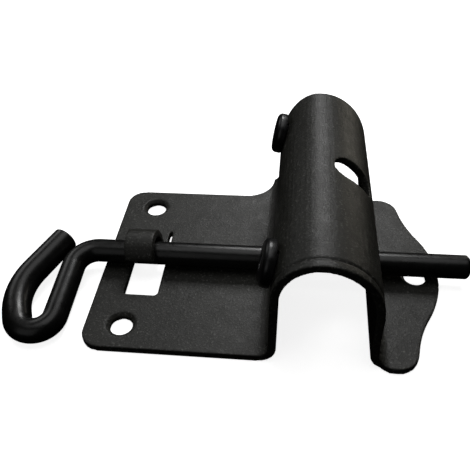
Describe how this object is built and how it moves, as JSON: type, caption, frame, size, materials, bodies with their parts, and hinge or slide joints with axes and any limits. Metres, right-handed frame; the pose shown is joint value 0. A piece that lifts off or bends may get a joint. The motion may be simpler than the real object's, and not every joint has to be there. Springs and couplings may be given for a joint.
{
  "type": "slide bolt gate latch",
  "caption": "Pressed sheet bracket with a half-round post saddle and a round bolt, bent into a pigtail handle, that slides and turns across it.",
  "frame": {"origin": "on the mounting face under the big flange, directly under the bolt's axis", "axes": "+X along the bolt towards its free end, +Y along the post saddle towards its overhanging end, +Z out of the mounting face"},
  "size_m": [0.1895, 0.1108, 0.053],
  "materials": {
    "bracket_coating": "satin textured powder coat, olive black",
    "bolt_coating": "semi-gloss black",
    "screw_finish": "black oxide, satin"
  },
  "bodies": {
    "bracket": {"saddle_bracket": "bracket_coating", "front_post_screw": "screw_finish", "rear_post_screw": "screw_finish"},
    "bolt": {"bolt_rod": "bolt_coating"},
    "handle": {"bolt_pigtail_handle": "bolt_coating"}
  },
  "joints": [
    {"name": "bolt_slide", "type": "slide", "parent": "bracket", "child": "bolt", "axis": [1, 0, 0], "range_m": [-0.076, 0.004]},
    {"name": "handle_turn", "type": "hinge", "parent": "bolt", "child": "handle", "pos_m": [-0.0275, 0, 0.0088], "axis": [-1, 0, 0], "range_deg": [0, 185]}
  ]
}
